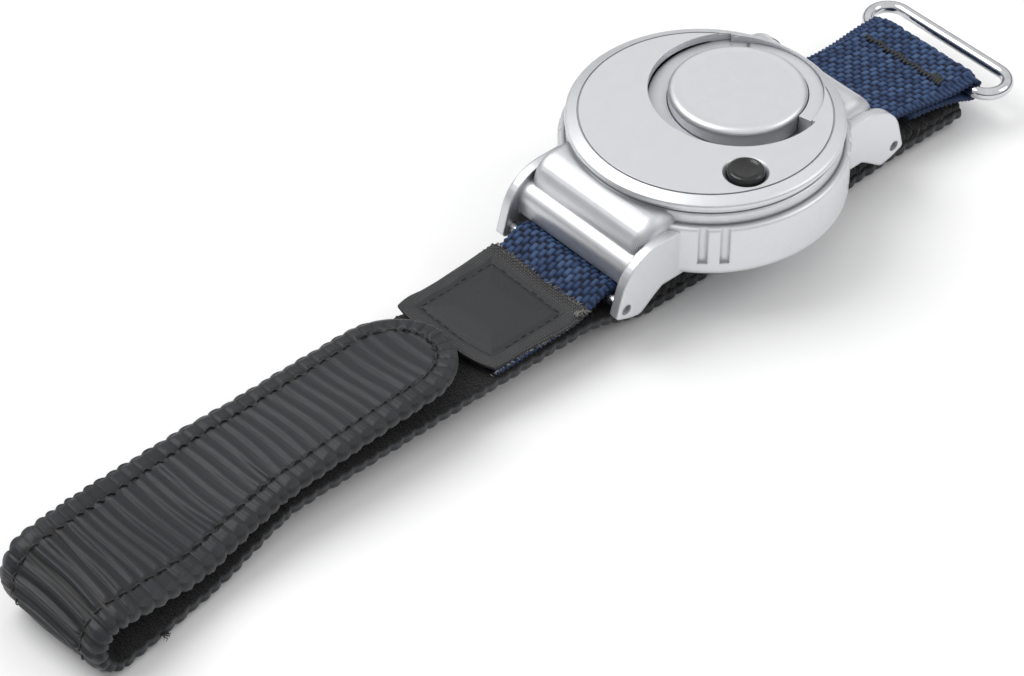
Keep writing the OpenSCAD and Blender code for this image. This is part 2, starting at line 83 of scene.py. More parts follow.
# the patch: left edge, length, half width, and distance of its seam from the edge
PATCH_X0 = -67.8
PATCH_L = 25.0
PATCH_HW = 13.1
PATCH_SEAM_IN = 3.5

# heights (x, z): the tail's inner face along both edges, and the webbing's top and returning lower face
TAIL_NEAR = [(FOLD_X, STRAP_T + 2 * FOLD_NEAR), (-150, 8.6), (-138, 5.8), (-125, 7.3), (-111, 9.2),
             (-95, 10.6), (-68, 12.2)]
TAIL_FAR = [(FOLD_X, STRAP_T + 2 * FOLD_FAR), (-150, 13.2), (-138, 11.6), (-125, 9.6), (-111, 8.4),
            (-95, 8.6), (-68, 8.8)]
WEB_TOP = [(-68.5, 9), (-56, 9.3), (-44, 9.9), (-36.6, WEB_ON_PIN), (-33, 11.55), (-29, 10.75),
           (-25, 10.5), (0, 10.5), (25, 10.5), (29, 10.75), (33, 11.55), (36.6, WEB_ON_PIN),
           (44, 12.1), (52, 11.3), (RING_X, RING_Z + WIRE_R + WIRE_PLAY + WEB_T)]
WEB_RETURN = [(46, 8.2), (52, 8.0), (58, 6.9), (RING_X, RING_Z - WIRE_R - WIRE_PLAY - WEB_T)]


def ease(t):
    """Smooth step from 0 to 1."""
    t = np.clip(t, 0, 1)
    return t * t * (3 - 2 * t)


def drift(x):
    """How far the left half of the strap bends towards the near side."""
    return -8 * ((-115 - x) / 50) ** 1.3 if x < -115 else 0.0


def heading(x):
    """Angle of the strap's run at x, which fades out towards the turn."""
    return math.atan(drift(x + 0.5) - drift(x - 0.5)) * (1 - float(ease((-138 - x) / 16)))


def curve(table, x):
    """Smooth curve through a table of (x, z)."""
    i = 0
    while i < len(table) - 2 and x >= table[i + 1][0]:
        i += 1

    def slope(k):
        a, b = max(k - 1, 0), min(k + 1, len(table) - 1)
        return (table[b][1] - table[a][1]) / (table[b][0] - table[a][0])

    h = table[i + 1][0] - table[i][0]
    u = (x - table[i][0]) / h
    return (table[i][1] * (2 * u ** 3 - 3 * u * u + 1) + slope(i) * h * (u ** 3 - 2 * u * u + u)
            + table[i + 1][1] * (3 * u * u - 2 * u ** 3) + slope(i + 1) * h * (u ** 3 - u * u))


def strap_low(x):
    """Height of the strap's underside, its ribbed face, before the turn."""
    if x > 0:
        return 0.8 * float(ease((x - 25) / 18))
    return 4.7 * float(ease((-25 - x) / 18) - ease((-108 - x) / 30))


def tail_z(x, v):
    """Height of the tail's inner face, with v from -1 at the near edge to 1 at the far one."""
    near, far = curve(TAIL_NEAR, x), curve(TAIL_FAR, x)
    return near + (far - near) * (v + 1) / 2


# A station is one cross-section of a strap. It gives, for the across positions y (mm), the points of
# the inner face and the unit directions that lead outwards from it.


def strap_points(x, y, z):
    """Points across the strap at x, square to its run."""
    h = heading(x)
    return np.stack([x - y * math.sin(h), drift(x) + y * math.cos(h), z], 1)


def web_points(x, y, z):
    return np.stack([np.full_like(y, x), y, np.full_like(y, z)], 1)


def upright(y, sign):
    return np.tile([0.0, 0.0, sign], (len(y), 1))


def flat_station(x, z, sign):
    return lambda y: (strap_points(x, y, np.full_like(y, z)), upright(y, sign))


def fold_station(a):
    """At an angle round the turn, which is wider at the far edge."""
    def at(y):
        v = y / STRAP_HW
        r = FOLD_NEAR + (FOLD_FAR - FOLD_NEAR) * (v + 1) / 2
        d = np.stack([np.full_like(y, -math.sin(a)), np.zeros_like(y), np.full_like(y, -math.cos(a))], 1)
        p = np.stack([FOLD_X - r * math.sin(a), drift(FOLD_X) + y, STRAP_T + r - r * math.cos(a)], 1)
        return p, d
    return at


def tail_station(x):
    return lambda y: (strap_points(x, y, tail_z(x, y / STRAP_HW)), upright(y, 1.0))


def web_top_station(x):
    return lambda y: (web_points(x, y, curve(WEB_TOP, x) - WEB_T), upright(y, 1.0))


def web_bend_station(a):
    """At an angle round the ring's wire."""
    def at(y):
        d = np.tile([math.cos(a), 0.0, math.sin(a)], (len(y), 1))
        p = np.array([RING_X, 0.0, RING_Z]) + d * (WIRE_R + WIRE_PLAY)
        p[:, 1] = y
        return p, d
    return at


def web_back_station(x):
    return lambda y: (web_points(x, y, curve(WEB_RETURN, x) + WEB_T), upright(y, -1.0))


def lengths(stations, out=0.0):
    """Running length (mm) along the middle of a strap, at a distance out from its inner face."""
    mids = np.array([np.array(s(np.array([0.0])))[:, 0] for s in stations])
    mids = mids[:, 0] + mids[:, 1] * out
    return np.concatenate([[0.0], np.cumsum(np.linalg.norm(np.diff(mids, axis=0), axis=1))])


# ---- mesh helpers ----------------------------------------

# millimetres across one unit of the cloth's UV map
UV_MM = 400.0
# points down each side of a strap of cloth
SIDE_POINTS = 4


def link(obj):
    bpy.context.scene.collection.objects.link(obj)
    return obj


def skin(name, points, faces, relief, material):
    """A smooth object from points in mm, with a relief from 0 to 1 at each point."""
    mesh = bpy.data.meshes.new(name)
    mesh.from_pydata((points * MM).tolist(), [], faces)
    attribute = mesh.attributes.new("relief", "FLOAT", "POINT")
    attribute.data.foreach_set("value", np.asarray(relief, np.float32).ravel())
    mesh.polygons.foreach_set("use_smooth", [True] * len(mesh.polygons))
    mesh.update()
    mesh.materials.append(material)
    return link(bpy.data.objects.new(name, mesh))


def loft(name, rings, uvs, relief, material):
    """Skins closed rings of points (n, m, 3) in mm. uvs (n, m + 1, 2) in mm, relief (n, m) from 0 to 1."""
    rings = np.asarray(rings, float)
    n, m = rings.shape[:2]
    i, j = np.meshgrid(np.arange(n - 1), np.arange(m), indexing="ij")
    k = (j + 1) % m
    faces = np.stack([i * m + j, i * m + k, (i + 1) * m + k, (i + 1) * m + j], -1).reshape(-1, 4).tolist()
    faces += [list(range(m - 1, -1, -1)), list(range((n - 1) * m, n * m))]
    obj = skin(name, rings.reshape(-1, 3), faces, relief, material)
    uvs = np.asarray(uvs, float)
    quads = np.stack([uvs[:-1, :-1], uvs[:-1, 1:], uvs[1:, 1:], uvs[1:, :-1]], 2).reshape(-1, 2)
    # the end caps come last and keep zeros
    full = np.zeros((len(obj.data.loops), 2))
    full[: len(quads)] = quads
    layer = obj.data.uv_layers.new(name="cloth")
    layer.data.foreach_set("uv", (full / UV_MM).astype(np.float32).ravel())
    return obj


def cloth(name, stations, s, half_width, thick, outer, inner, edge, material, m_out, m_in,
          rim=(0.4, 0.4, 0.4)):
    """A strap of cloth. outer(i, s, y) and inner(i, s, y) give height (mm) and relief (0 to 1) of the two
    faces at station i, half_width(i) its half width, and edge(s, side) how far the selvage stands out.
    m_out and m_in are the points across each face. rim holds the relief of the side, from the outer
    face to the inner one."""
    v_out = np.linspace(-1, 1, m_out)
    v_in = np.linspace(1, -1, m_in)
    turn = np.linspace(0, math.pi, SIDE_POINTS + 2)[1:-1]
    side_steps = np.arange(1, SIDE_POINTS + 1) * thick / (SIDE_POINTS + 1)
    rings, uvs, relief = [], [], []
    for i, station in enumerate(stations):
        w = half_width(i)
        near, far = edge(s[i], -1), edge(s[i], 1)
        y_out = v_out * w + np.where(v_out < 0, -near, far) * np.abs(v_out) ** 6
        y_in = v_in * w + np.where(v_in < 0, -near, far) * np.abs(v_in) ** 6
        h_out, r_out = outer(i, s[i], y_out)
        h_in, r_in = inner(i, s[i], y_in)
        p, d = station(y_out)
        top = p + d * (thick + h_out)[:, None]
        p, d = station(y_in)
        low = p - d * h_in[:, None]
        sides = []
        for a, b, sign in ((top[-1], low[0], 1), (low[-1], top[0], -1)):
            mid, half = (a + b) / 2, (a - b) / 2
            across = top[-1] - top[0]
            across = across / max(np.linalg.norm(across), 1e-6) * sign
            bulge = np.linalg.norm(half) * 0.3
            sides.append(np.array([mid + half * math.cos(t) + across * bulge * math.sin(t) for t in turn]))
        rings.append(np.concatenate([top, sides[0], low, sides[1]]))
        span = np.concatenate([y_out, w + side_steps, w + thick + (w - y_in),
                               3 * w + thick + side_steps, [3 * w + 2 * thick]])
        uvs.append(np.stack([np.full_like(span, s[i]), span + 20], 1))
        relief.append(np.concatenate([r_out, [r_out[-1], *rim], r_in, [*rim[::-1], r_out[0]]]))
    return loft(name, rings, uvs, relief, material)


def sweep(path, radius, sides):
    """Vertices and faces of a round thread along a path (n, 3), mm, with ends of half the radius."""
    path = np.asarray(path, float)
    t = np.gradient(path, axis=0)
    t /= np.maximum(np.linalg.norm(t, axis=1, keepdims=True), 1e-9)
    up = np.array([0.0, 0.0, 1.0])
    if abs(t[0] @ up) > 0.9:
        up = np.array([0.0, 1.0, 0.0])
    a = np.cross(t, up)
    a /= np.maximum(np.linalg.norm(a, axis=1, keepdims=True), 1e-9)
    b = np.cross(t, a)
    n = len(path)
    r = np.full(n, radius)
    r[0] = radius / 2
    r[-1] = radius / 2
    angles = np.linspace(0, 2 * math.pi, sides, endpoint=False)
    verts = (path[:, None] + a[:, None] * (np.cos(angles)[None, :, None] * r[:, None, None])
             + b[:, None] * (np.sin(angles)[None, :, None] * r[:, None, None])).reshape(-1, 3)
    faces = []
    for i in range(n - 1):
        for k in range(sides):
            after = (k + 1) % sides
            faces.append([i * sides + k, i * sides + after, (i + 1) * sides + after, (i + 1) * sides + k])
    faces += [list(range(sides - 1, -1, -1)), list(range((n - 1) * sides, n * sides))]
    return verts, faces


def threads(name, paths, radius, material, sides=8):
    """One mesh of many short threads. radius is one number or one for each path."""
    verts = []
    faces = []
    shade = []
    radii = radius if hasattr(radius, "__len__") else [radius] * len(paths)
    for path, r in zip(paths, radii):
        points, quads = sweep(path, r, sides)
        first = len(shade)
        faces += [[first + k for k in quad] for quad in quads]
        verts.append(points)
        shade += [rng.uniform(0.3, 1.0)] * len(points)
    return skin(name, np.concatenate(verts), faces, shade, material)


# ---- materials -------------------------------------------

# scale at which one band of the wave texture is one unit wide
ONE_BAND = 0.314159


class Mat:
    """A node material with short helpers. Constants sit on the shader's own sockets."""

    def __init__(self, name, color, roughness, metallic=0.0, **sockets):
        self.material = bpy.data.materials.new(name)
        self.material.use_nodes = True
        self.tree = self.material.node_tree
        self.shader = self.tree.nodes["Principled BSDF"]
        self.shader.inputs["Base Color"].default_value = (*color, 1)
        self.shader.inputs["Roughness"].default_value = roughness
        self.shader.inputs["Metallic"].default_value = metallic
        for key, value in sockets.items():
            self.shader.inputs[key.replace("_", " ")].default_value = value
        self.bump_end = None

    def node(self, kind, **props):
        """A new node, with values for its input sockets or its settings."""
        n = self.tree.nodes.new(kind)
        for key, value in props.items():
            if key in n.inputs:
                n.inputs[key].default_value = value
            else:
                setattr(n, key, value)
        return n

    def wire(self, a, b):
        self.tree.links.new(a, b)

    def place(self, scale, uv=False):
        """Coordinates in millimetres times scale: the object's own, or the cloth's UV map."""
        if uv:
            src = self.node("ShaderNodeUVMap", uv_map="cloth").outputs["UV"]
            k = UV_MM
        else:
            src = self.node("ShaderNodeTexCoord").outputs["Object"]
            k = 1000.0
        mapping = self.node("ShaderNodeMapping")
        mapping.inputs["Scale"].default_value = [k * c for c in scale]
        self.wire(src, mapping.inputs["Vector"])
        return mapping.outputs["Vector"]

    def noise(self, scale, detail=3.0, rough=0.55, uv=False):
        """Noise with scale details for each mm, the same along all axes or one number for each."""
        n = self.node("ShaderNodeTexNoise")
        n.inputs["Scale"].default_value = 1.0
        n.inputs["Detail"].default_value = detail
        n.inputs["Roughness"].default_value = rough
        self.wire(self.place(scale if hasattr(scale, "__len__") else (scale,) * 3, uv), n.inputs["Vector"])
        return n.outputs["Fac"]

    def wave(self, scale, distortion, direction="X"):
        """Sine bands over the cloth, with scale bands for each mm."""
        n = self.node("ShaderNodeTexWave", wave_type="BANDS", bands_direction=direction, wave_profile="SIN")
        n.inputs["Scale"].default_value = ONE_BAND
        n.inputs["Distortion"].default_value = distortion
        n.inputs["Detail"].default_value = 1.5
        n.inputs["Detail Scale"].default_value = 0.6
        self.wire(self.place(scale, uv=True), n.inputs["Vector"])
        return n.outputs["Fac"]

    def cells(self, scale, feature):
        """Distance from the middle or the edge of cells on the cloth, scale of them for each mm."""
        n = self.node("ShaderNodeTexVoronoi", feature=feature)
        n.inputs["Scale"].default_value = 1.0
        self.wire(self.place(scale, uv=True), n.inputs["Vector"])
        return n.outputs["Distance"]

    def relief(self):
        """The mesh's own value from 0 to 1: painted shade and highlight that follow the weave's and ribs'
        height, a cut-edge mask on the patch, and each thread's own shade.
        """
        return self.node("ShaderNodeAttribute", attribute_name="relief").outputs["Fac"]

    def ramp(self, fac, stops):
        """A colour ramp. Each stop is a position and a colour or a grey level."""
        n = self.node("ShaderNodeValToRGB")
        elements = n.color_ramp.elements
        while len(elements) < len(stops):
            elements.new(0.5)
        for element, (pos, col) in zip(elements, stops):
            element.position = pos
            element.color = (*col, 1) if hasattr(col, "__len__") else (col, col, col, 1)
        self.wire(fac, n.inputs["Fac"])
        return n.outputs["Color"]

    def math(self, op, a, b):
        """Arithmetic on two outputs or numbers."""
        n = self.node("ShaderNodeMath", operation=op)
        for socket, value in zip(n.inputs, (a, b)):
            if isinstance(value, (int, float)):
                socket.default_value = value
            else:
                self.wire(value, socket)
        return n.outputs[0]

    def mix(self, fac, a, b, blend="MIX"):
        n = self.node("ShaderNodeMix", data_type="RGBA", blend_type=blend)
        for socket, value in ((n.inputs[0], fac), (n.inputs[6], a), (n.inputs[7], b)):
            if isinstance(value, (int, float)):
                socket.default_value = value
            elif hasattr(value, "__len__"):
                socket.default_value = (*value, 1)
            else:
                self.wire(value, socket)
        return n.outputs[2]

    def times(self, first, *others):
        """Colours multiplied together."""
        for other in others:
            first = self.mix(1.0, first, other, "MULTIPLY")
        return first

    def color(self, out):
        self.wire(out, self.shader.inputs["Base Color"])
        return self

    def rough(self, fac, low, high):
        """Roughness between low and high."""
        n = self.node("ShaderNodeMapRange")
        n.inputs["To Min"].default_value = low
        n.inputs["To Max"].default_value = high
        self.wire(fac, n.inputs["Value"])
        self.wire(n.outputs["Result"], self.shader.inputs["Roughness"])
        return self

    def bump(self, height, distance, strength=1.0):
        """Bump of a distance in mm, on top of the bumps that are already there."""
        n = self.node("ShaderNodeBump")
        n.inputs["Distance"].default_value = distance * MM
        n.inputs["Strength"].default_value = strength
        self.wire(height, n.inputs["Height"])
        if self.bump_end is not None:
            self.wire(self.bump_end, n.inputs["Normal"])
        self.bump_end = n.outputs["Normal"]
        self.wire(self.bump_end, self.shader.inputs["Normal"])
        return self

    def bevel(self, radius):
        """Rounded-looking edges of a radius in mm. It comes before any bump."""
        n = self.node("ShaderNodeBevel", samples=6)
        n.inputs["Radius"].default_value = radius * MM
        self.bump_end = n.outputs["Normal"]
        self.wire(self.bump_end, self.shader.inputs["Normal"])
        return self


def silver(name, bevel):
    """Satin silver paint on moulded plastic: fine flake, faint moulding waviness, rubbed patches, and
    painted shade in the hollows. bevel is the radius of its edges in mm."""
    m = Mat(name, (0.72, 0.73, 0.75), 0.34, 0.78)
    m.bevel(bevel)
    flake = m.noise(9.0, 2.0, 0.7)
    soft = m.noise(0.35, 4.0, 0.6)
    tone = m.ramp(flake, [(0.3, (0.66, 0.67, 0.69)), (0.5, (0.71, 0.72, 0.74)), (0.72, (0.77, 0.78, 0.80))])
    rubbed = m.ramp(soft, [(0.3, 0.975), (0.7, 1.0)])
    # painted shade: ambient occlusion darkens the colour in hollows and gaps between parts
    hollow = m.node("ShaderNodeAmbientOcclusion", samples=8)
    hollow.inputs["Distance"].default_value = 5 * MM
    hollow_shade = m.ramp(hollow.outputs["AO"], [(0.1, (0.38, 0.39, 0.41)), (0.8, 1.0)])
    m.color(m.times(tone, rubbed, hollow_shade))
    m.rough(soft, 0.36, 0.44)
    m.bump(flake, 0.006).bump(soft, 0.01, 0.5)
    return m.material


def moulded(name, color, low, high, grain=4.0, depth=0.02, bevel=0.0, **sockets):
    """Moulded plastic or rubber: fine grain, faint cloudiness."""
    m = Mat(name, color, (low + high) / 2, **sockets)
    if bevel:
        m.bevel(bevel)
    fine = m.noise(grain, 4.0, 0.6)
    soft = m.noise(0.5, 3.0)
    dark = [c * 0.75 for c in color]
    light = [min(1, c * 1.3) for c in color]
    m.color(m.ramp(soft, [(0.3, dark), (0.55, color), (0.75, light)]))
    m.rough(fine, low, high)
    m.bump(fine, depth)
    return m.material


def metal(name, color, low, high, stretch=(1, 1, 14), depth=0.004, bevel=0.0):
    """Plated or drawn metal with fine lines and a little tarnish."""
    m = Mat(name, color, (low + high) / 2, 1.0)
    if bevel:
        m.bevel(bevel)
    lines = m.noise([c * 0.6 for c in stretch], 4.0, 0.6)
    soft = m.noise(0.4, 3.0)
    dark = [c * 0.82 for c in color]
    light = [min(1, c * 1.08) for c in color]
    m.color(m.ramp(soft, [(0.25, dark), (0.6, color), (0.8, light)]))
    m.rough(lines, low, high)
    m.bump(lines, depth)
    return m.material


def ribbed_cloth(name):
    """Ribbed black strap: the outer side's weft ribs, with painted shade where the relief is low and a
    painted highlight on the crests.
    """
    m = Mat(name, (0.035, 0.037, 0.041), 0.55, Sheen_Weight=0.12, Sheen_Roughness=0.4,
            Specular_IOR_Level=0.42)
    fine = m.wave((1 / YARN, 0.02, 1), 1.2)
    yarn = m.noise((4.0, 0.5, 1), 3.0, 0.6, uv=True)
    cloud = m.noise((0.12, 0.2, 1), 4.0, 0.6, uv=True)
    # the relief value is painted light: shade in valleys, at the turn and in the seam's groove, highlight
    # on crests and pleats
    base = m.ramp(m.relief(), [(0.0, (0.0028, 0.0031, 0.0038)), (0.35, (0.0098, 0.0112, 0.0138)),
                               (0.7, (0.0175, 0.0198, 0.0240)), (1.0, (0.034, 0.0372, 0.0430))])
    streak = m.ramp(yarn, [(0.3, 0.93), (0.7, 1.06)])
    warm = m.ramp(cloud, [(0.35, (0.95, 1.0, 1.06)), (0.65, (1.08, 1.0, 0.97))])
    m.color(m.times(base, streak, warm))
    m.rough(yarn, 0.40, 0.58)
    m.bump(fine, 0.012).bump(yarn, 0.012)
    return m.material


def pile_cloth(name, color):
    """Loop pile: small curls, painted lighter on top as highlight, with painted shade in the gaps between
    them.
    """
    m = Mat(name, color, 0.9, Sheen_Weight=0.12, Sheen_Roughness=0.6, Specular_IOR_Level=0.2)
    curl = m.cells((2.6, 3.4, 2.6), "F1")
    fuzz = m.noise(5.0, 5.0, 0.7, uv=True)
    dark = [c * 0.35 for c in color]
    light = [min(1, c * 1.9) for c in color]
    # painted highlight on the curls' tops and painted shade in the gaps between them
    tone = m.ramp(curl, [(0.0, light), (0.45, color), (0.8, dark)])
    m.color(m.times(tone, m.ramp(fuzz, [(0.3, 0.6), (0.7, 1.3)])))
    m.bump(m.math("SUBTRACT", 1.0, curl), 0.35).bump(fuzz, 0.2)
    return m.material


def woven_cloth(name):
    """Coarse blue webbing: warp floats over recessed weft, with painted shade in the recesses and a painted
    highlight on the floats' tops, and twisted yarn.
    """
    m = Mat(name, (0.04, 0.08, 0.19), 0.62, Specular_IOR_Level=0.25)
    fibre = m.noise((1.0, 7.0, 1), 3.0, 0.6, uv=True)
    cloud = m.noise((0.35, 0.5, 1), 3.0, 0.6, uv=True)
    # the relief value is painted light: shade between the floats, highlight on their tops
    base = m.ramp(m.relief(), [(0.0, (0.0012, 0.0024, 0.010)), (0.3, (0.005, 0.011, 0.036)),
                               (0.62, (0.022, 0.046, 0.115)), (1.0, (0.058, 0.104, 0.205))])
    streak = m.ramp(fibre, [(0.3, 0.72), (0.7, 1.28)])
    tint = m.ramp(cloud, [(0.35, (0.86, 0.96, 1.0)), (0.65, (1.12, 1.02, 0.98))])
    m.color(m.times(base, streak, tint))
    m.rough(fibre, 0.5, 0.75)
    m.bump(fibre, 0.08)
    return m.material


def coated_cloth(name):
    """Black coated cloth: fine pebble grain, a matt woven look towards the cut edges (low relief)."""
    m = Mat(name, (0.035, 0.035, 0.037), 0.5, Specular_IOR_Level=0.45)
    pebble = m.cells((1.7, 1.7, 1), "DISTANCE_TO_EDGE")
    fine = m.noise(3.2, 5.0, 0.65, uv=True)
    weave = m.math("MULTIPLY", m.wave((1 / 0.55, 0, 1), 0.4), m.wave((0, 1 / 0.55, 1), 0.4, direction="Y"))
    edge = m.ramp(m.relief(), [(0.15, 1.0), (0.55, 0.0)])
    skin = m.ramp(fine, [(0.3, (0.014, 0.0150, 0.0170)), (0.7, (0.025, 0.0262, 0.0288))])
    lint = m.noise(5.5, 5.0, 0.75, uv=True)
    cut = m.ramp(m.math("ADD", m.math("MULTIPLY", weave, 0.25), lint),
                 [(0.42, (0.015, 0.0155, 0.0165)), (0.6, 0.052), (0.8, (0.20, 0.198, 0.192))])
    m.color(m.mix(edge, skin, cut))
    m.rough(m.math("MAXIMUM", fine, edge), 0.36, 0.85)
    m.bump(pebble, 0.07).bump(fine, 0.05).bump(m.math("MULTIPLY", weave, edge), 0.25)
    return m.material


def thread_mat(name, dark, light):
    """Twisted sewing thread or lint, each thread in its own shade between dark and light."""
    m = Mat(name, dark, 0.6, Sheen_Weight=0.1)
    m.color(m.ramp(m.relief(), [(0.3, dark), (1.0, light)]))
    twist = m.noise((3, 3, 3), 3.0, 0.6)
    m.rough(twist, 0.45, 0.75)
    m.bump(twist, 0.05)
    return m.material


SILVER = silver("satin_silver", 0.65)
SILVER_SHARP = silver("satin_silver_cover", 0.16)
RIBBED = ribbed_cloth("ribbed_black_cloth")
PILE = pile_cloth("black_loop_pile", (0.014, 0.0145, 0.016))
HOOK = pile_cloth("black_hook_tape", (0.02, 0.021, 0.022))
WOVEN = woven_cloth("blue_webbing_cloth")
VINYL = coated_cloth("black_coated_cloth")
THREAD = thread_mat("black_sewing_thread", (0.006, 0.006, 0.007), (0.02, 0.02, 0.022))
TACK = thread_mat("dark_tack_thread", (0.004, 0.005, 0.006), (0.014, 0.017, 0.018))
FRAY = thread_mat("pale_frayed_thread", (0.03, 0.029, 0.028), (0.26, 0.25, 0.235))
LINT = thread_mat("black_lint", (0.008, 0.008, 0.009), (0.05, 0.05, 0.055))

FINISH = {
    "silver_case": SILVER,
    "black_button": moulded("gloss_black_button", (0.007, 0.0073, 0.008), 0.16, 0.3, 1.5, 0.004, 0.25,
                            Coat_Weight=0.15, Coat_Roughness=0.08),
    "spring_steel": metal("bright_steel", (0.66, 0.67, 0.69), 0.18, 0.34, bevel=0.15),
    "black_plastic": moulded("black_moulding", (0.022, 0.023, 0.025), 0.42, 0.62, bevel=0.1),
    "green_board": moulded("solder_mask", (0.02, 0.12, 0.05), 0.3, 0.45, 1.2, 0.01),
    "copper_coil": metal("enamelled_copper", (0.6, 0.25, 0.1), 0.25, 0.45, (14, 14, 1), 0.03),
    "blue_sleeve": moulded("capacitor_sleeve", (0.03, 0.06, 0.17), 0.25, 0.4, 1.5, 0.01, 0.1),
    "brass_plate": metal("brass_sheet", (0.75, 0.56, 0.27), 0.25, 0.45, (10, 1, 1)),
    "white_ceramic": moulded("fired_ceramic", (0.72, 0.7, 0.64), 0.5, 0.7, 3.0, 0.01),
    "black_rubber": moulded("soft_rubber", (0.02, 0.02, 0.022), 0.6, 0.8, 3.0, 0.03),
    "lead_wire": moulded("red_insulation", (0.32, 0.02, 0.02), 0.35, 0.5, 2.0, 0.01),
    "cell_steel": metal("cell_can", (0.72, 0.73, 0.74), 0.16, 0.32, (6, 6, 1), bevel=0.15),
    "chrome_wire": metal("chrome_plating", (0.66, 0.67, 0.69), 0.04, 0.12, (2, 2, 2), 0.002),
}
slot_of = {row["node"]: row["material_slot"] for row in frame["record"]["subparts"]}
for name, obj in frame["nodes"].items():
    finish = FINISH.get(slot_of[name])
    if name in ("top_cover", "horn_cap", "horn_insert"):
        finish = SILVER_SHARP
    if finish:
        obj.data.materials.clear()
        obj.data.materials.append(finish)

# ---- ribbed strap and its tail ---------------------------

base_xs = np.arange(STRAP_END, FOLD_X, -0.42)
fold_angles = np.linspace(0, math.pi, 92)
back_xs = np.arange(FOLD_X + 0.25, TAIL_SPLIT, 0.25)
# the round tip of the tail
tip_r = STRAP_HW
tip_c = TAIL_END - tip_r
tail_xs = np.concatenate([np.arange(TAIL_SPLIT, tip_c, 0.27),
                          tip_c + tip_r * np.sin(np.linspace(0, math.radians(88.5), 64))])
stations = ([flat_station(x, strap_low(x) + STRAP_T, -1.0) for x in base_xs]
            + [fold_station(a) for a in fold_angles]
            + [tail_station(x) for x in back_xs]
            + [tail_station(x) for x in tail_xs])
# running length along the outer face, which places the ribs, and along the middle of the cloth
strap_s = lengths(stations, STRAP_T)
strap_run = lengths(stations, STRAP_T / 2)
# the station where the tail begins, and the lengths at the turn and at the start of the round tip
n_root = len(base_xs) + len(fold_angles) + len(back_xs)
s_fold = strap_s[len(base_xs) + len(fold_angles) // 2]
s_tip_c = strap_s[n_root + int(np.searchsorted(tail_xs, tip_c))]

RIBS = 141
rib_steps = RIB * (1 + 0.09 * rng.standard_normal(RIBS - 1).clip(-1.6, 1.6))
rib_at = np.concatenate([[0.0], np.cumsum(rib_steps)])
rib_amp = rng.uniform(0.6, 1.15, RIBS)
pleat_amp = rng.uniform(0.55, 1.15, (2, RIBS))
rib_tilt = rng.uniform(-0.10, 0.10, RIBS)
rib_fade = rng.uniform(-1, 1, RIBS)


def at_fold(s, reach):
    """1 at the middle of the turn, falling to 0 beyond a reach in mm."""
    return math.exp(-((s - s_fold) / reach) ** 2)


def ribs(s, y):
    """Weft ribs: narrow raised crests at irregular spacing with broad flat ground between them.
    Returns the height, the share of a crest and the share of a fine yarn."""
    k = np.searchsorted(rib_at, s + 0.5 * RIB) - 1
    near_fold = at_fold(s, 22)
    out = np.zeros_like(y)
    for j in (k - 1, k, k + 1):
        if 0 <= j < len(rib_at):
            wander = rib_tilt[j] * y / STRAP_HW + 0.32 * np.sin(y * 0.26 + 0.33 * j)
            gone = 0.80 + 0.20 * np.sin(y * 0.21 + 5 * rib_fade[j])
            width = 0.60 - 0.08 * near_fold
            out += rib_amp[j] * gone * np.exp(-((s - rib_at[j] - wander) / width) ** 2)
    fine = 0.5 + 0.5 * np.cos(2 * math.pi * s / YARN + 0.6 * np.sin(y * 0.25))
    calm = 1 - 0.35 * float(ease((s - s_fold - 45) / 45))
    return out * (0.72 + 0.35 * near_fold) * calm + 0.022 * fine, out, fine


def edge_distance(i, s, y):
    """Distance from the cloth's edge, and the place along the edge, both in mm."""
    if i >= n_root:
        x = tail_xs[i - n_root]
        if x > tip_c:
            rho = np.hypot(x - tip_c, y)
            along = s_tip_c + tip_r * np.arctan2(x - tip_c, np.maximum(np.abs(y), 1e-3))
            return STRAP_HW - rho, along
    return STRAP_HW - np.abs(y), np.full_like(y, s)


def side_phase(y):
    """The pleats of the two edges are out of step."""
    return np.where(y < 0, 0.0, 1.3)


def strap_outer(i, s, y):
    """Height of the ribbed face, and its relief value of painted shade and highlight: ribs inside the seam,
    a pleated border outside it.
    """
    h_rib, crest, fine = ribs(s, y)
    e, along = edge_distance(i, s, y)
    phase = side_phase(y)
    inside = ease((e - STITCH_IN + 0.2) / 1.2)
    wobble = 0.14 * np.sin(along * 2.1 + phase)
    groove = np.exp(-((e - STITCH_IN + wobble) / 0.42) ** 2)
    knot = 0.6 + 0.4 * np.cos(2 * math.pi * (along + phase) / RIB)
    puff = np.abs(np.cos(math.pi * (along + phase) / RIB)) ** 0.45
    border = (1 - inside) * ease(e / 1.3)
    pleat = pleat_amp[(y > 0).astype(int), np.clip((along + phase) / RIB + 0.5, 0, RIBS - 1).astype(int)]
    h = h_rib * inside + border * (0.50 * puff * pleat + 0.25 * h_rib) - 0.60 * groove * knot
    h = h - 0.20 * (1 - ease(e / 0.7))
    near_fold = at_fold(s, 22)
    # painted light: crests and yarn tops lighter as highlight, painted shade in the valleys, deepest near
    # the turn
    tone = inside * (0.32 + 0.46 * np.clip(crest, 0, 1.2) + 0.12 * (fine - 0.5)
                     - 0.28 * near_fold * (1 - np.clip(1.4 * crest, 0, 1)))
    yarns = 0.5 + 0.5 * np.cos(2 * math.pi * along / YARN)
    h = h + 0.03 * border * yarns
    # painted highlight on the border's puffs, painted shade between the pleats
    tone += (1 - inside) * (0.02 + 0.50 * puff * pleat + 0.12 * (yarns - 0.5))
    # painted shade in the seam's groove
    tone -= 0.75 * groove
    return h, np.clip(tone, 0, 1)


pile_phase = rng.uniform(0, 6.28, 6)


